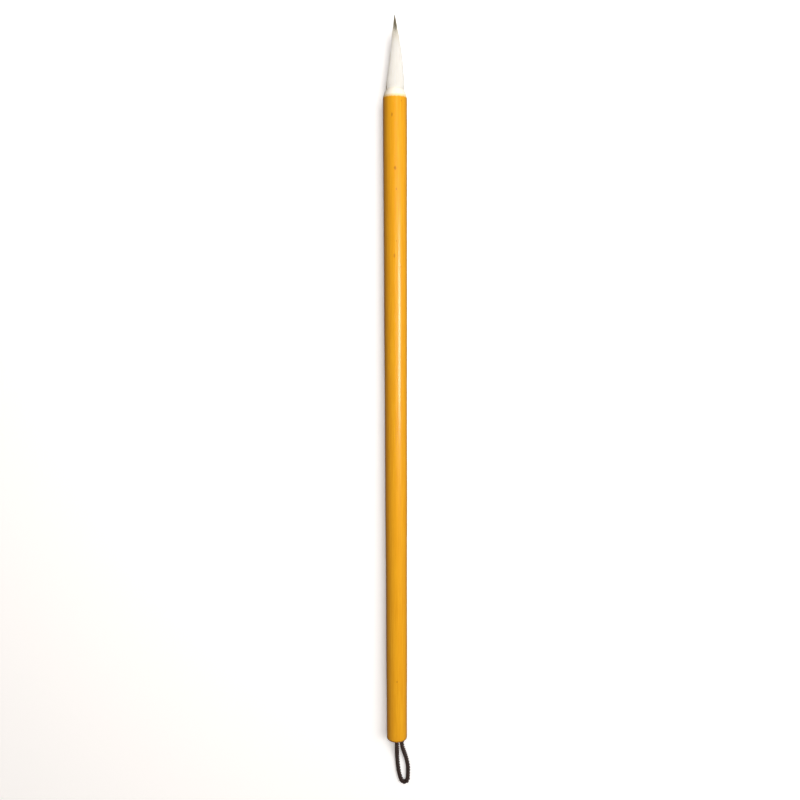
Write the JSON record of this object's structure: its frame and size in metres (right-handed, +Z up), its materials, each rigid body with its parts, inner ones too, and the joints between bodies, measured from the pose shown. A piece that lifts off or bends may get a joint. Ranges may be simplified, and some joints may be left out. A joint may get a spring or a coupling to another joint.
{
  "type": "calligraphy brush",
  "caption": "Slim calligraphy brush: a glazed bamboo handle, a pointed white hair tuft with a dark core tip, and a twisted cord loop at the tail.",
  "frame": {"origin": "on the surface that the head of the handle touches when the brush is laid down, under the middle of its length from the tail end of the handle to the tip of the hair; the handle's axis is 3.35 mm above it", "axes": "+Y along the handle towards the tip of the hair, +Z up from the table, +X to the right when seen from above with the tip ahead"},
  "size_m": [0.007, 0.2162, 0.0067],
  "materials": {
    "glazed_bamboo": "glossy orange-yellow glaze over bamboo, bare and pale at the head's shoulder and at the cut tail end",
    "cover_white": "fine white goat hair, soft sheen along the hairs",
    "lining_cream": "cream goat hair, shorter than the cover",
    "core_dark": "dark olive-brown stiff hair, darkest at the point",
    "bound_hair": "hair root, packed hard and dull",
    "binding_thread": "undyed cotton thread, matte",
    "rosin": "brown set rosin, semi-gloss",
    "clear_glue": "amber set glue, semi-gloss",
    "dark_cord": "brown-black twisted cotton cord, matte",
    "raw_cane": "split cane, unglazed and matte"
  },
  "bodies": {
    "handle": {"bamboo_handle": "glazed_bamboo", "root_bundle": "bound_hair", "root_thread": "binding_thread", "root_seal": "rosin", "socket_glue": "clear_glue", "loop_tails": "dark_cord", "loop_knot": "dark_cord", "tail_peg": "raw_cane", "tail_glue": "clear_glue"},
    "tuft": {"core_hair": "core_dark", "lining_hair": "lining_cream", "cover_hair": "cover_white"},
    "loop": {"hanging_loop": "dark_cord"}
  },
  "joints": [
    {"name": "tuft_bend", "type": "hinge", "parent": "handle", "child": "tuft", "pos_m": [0, 0.0801, 0.00335], "axis": [0, 0, 1], "range_deg": [-40, 40], "stiffness_Nm_per_rad": 0.004},
    {"name": "loop_lift", "type": "hinge", "parent": "handle", "child": "loop", "pos_m": [0, -0.10155, 0.00335], "axis": [-1, 0, 0], "range_deg": [0, 80]}
  ]
}
